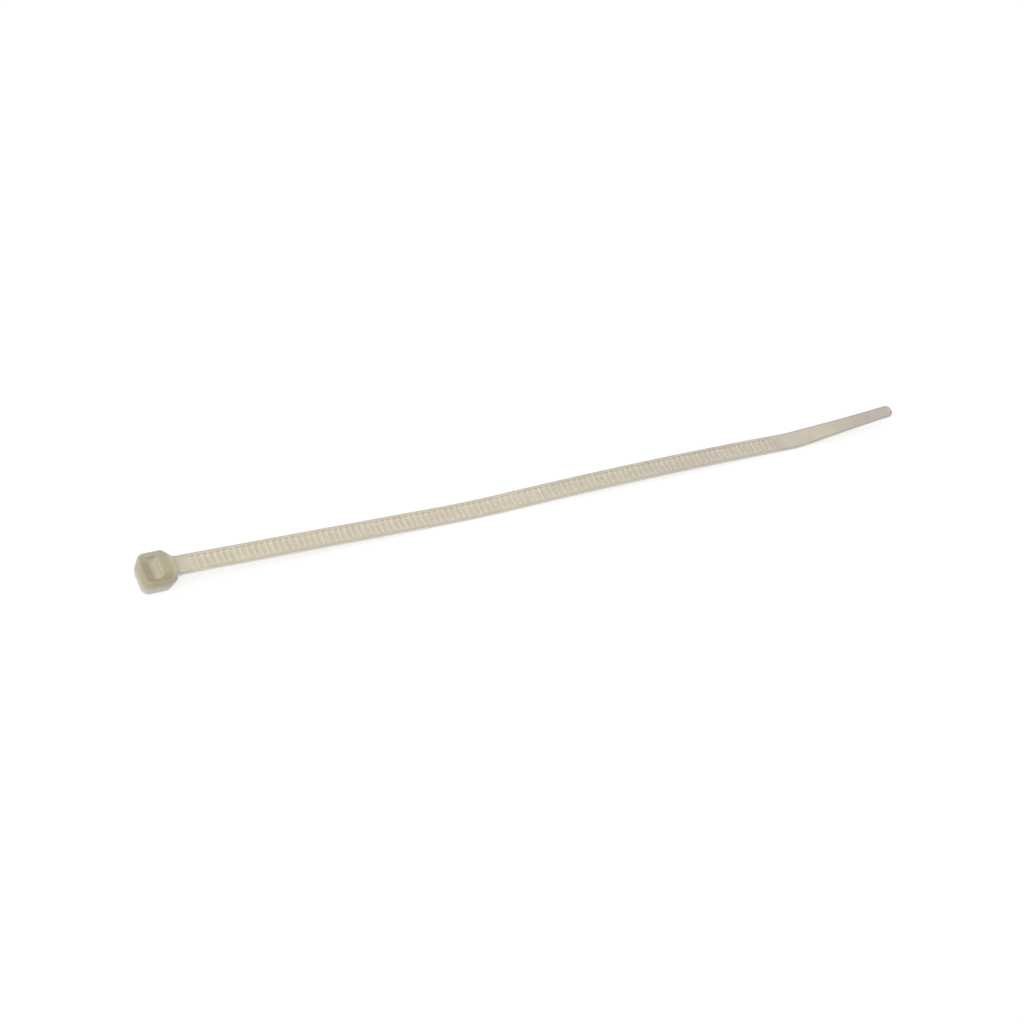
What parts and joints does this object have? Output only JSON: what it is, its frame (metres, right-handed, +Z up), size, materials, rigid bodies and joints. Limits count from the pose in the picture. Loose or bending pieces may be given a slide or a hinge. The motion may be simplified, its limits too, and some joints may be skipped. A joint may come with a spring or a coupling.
{
  "type": "cable tie",
  "caption": "One-piece nylon cable tie lying open, with a toothed strap between side rails, a locking head with a slot and sprung pawl, and a kinked, tapered tail.",
  "frame": {"origin": "middle of the head's slot, level with the surface that the tie lies on", "axes": "+X along the strap from the head to the tail, +Y across the strap, +Z up, out of the slot's entry and out of the toothed side"},
  "size_m": [0.1995, 0.0082, 0.0053],
  "materials": {
    "natural_nylon": "satin, slightly translucent, as moulded"
  },
  "bodies": {
    "root": {"cable_tie": "natural_nylon"}
  },
  "joints": []
}
